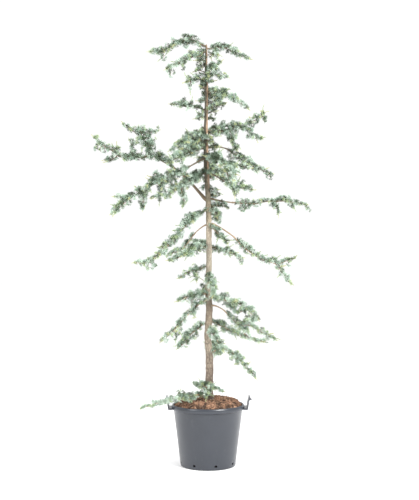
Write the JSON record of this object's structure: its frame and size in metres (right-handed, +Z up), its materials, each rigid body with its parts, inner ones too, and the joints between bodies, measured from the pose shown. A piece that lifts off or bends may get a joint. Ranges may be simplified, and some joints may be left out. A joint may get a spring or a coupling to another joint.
{
  "type": "potted cedar tree",
  "caption": "Young blue cedar with open tiers of drooping needled boughs on a wavy trunk, in a round grey nursery pot with two lifting handles.",
  "frame": {"origin": "centre of the pot's flat underside, where the pot stands on the floor", "axes": "+Z up along the pot's axis and the trunk, +X to the tree's right and towards the right-hand handle, +Y to the tree's back"},
  "size_m": [1.2382, 0.7174, 2.3981],
  "materials": {
    "needles": "short stiff blue-green needles in rosettes, with paler yellow-green shoot tips",
    "bark": "grey-brown cracked bark low down, smooth pale beige in the middle and dark grey-green near the top",
    "pot_plastic": "dark blue-grey moulded plastic with a soft sheen",
    "compost": "coarse brown bark and coir compost"
  },
  "bodies": {
    "root": {"bough_11": "bark", "bough_20": "bark", "bough_22": "bark", "bough_25": "bark", "bough_26": "bark", "bough_27": "bark", "bough_33": "bark", "bough_35": "bark", "compost": "compost", "foliage_01": "needles", "foliage_02": "needles", "foliage_03": "needles", "foliage_04": "needles", "foliage_05": "needles", "foliage_06": "needles", "foliage_07": "needles", "foliage_08": "needles", "foliage_09": "needles", "foliage_10": "needles", "foliage_11": "needles", "foliage_12": "needles", "foliage_13": "needles", "foliage_14": "needles", "foliage_15": "needles", "foliage_16": "needles", "foliage_17": "needles", "foliage_18": "needles", "foliage_19": "needles", "foliage_20": "needles", "foliage_21": "needles", "foliage_22": "needles", "foliage_23": "needles", "foliage_24": "needles", "foliage_25": "needles", "foliage_26": "needles", "foliage_27": "needles", "foliage_28": "needles", "foliage_29": "needles", "foliage_30": "needles", "foliage_31": "needles", "foliage_32": "needles", "foliage_33": "needles", "foliage_34": "needles", "foliage_35": "needles", "foliage_36": "needles", "foliage_37": "needles", "foliage_38": "needles", "foliage_39": "needles", "foliage_40": "needles", "foliage_41": "needles", "foliage_42": "needles", "foliage_43": "needles", "foliage_44": "needles", "foliage_45": "needles", "foliage_46": "needles", "pot": "pot_plastic", "pot_handle_left": "pot_plastic", "pot_handle_right": "pot_plastic", "trunk": "bark"}
  },
  "joints": []
}
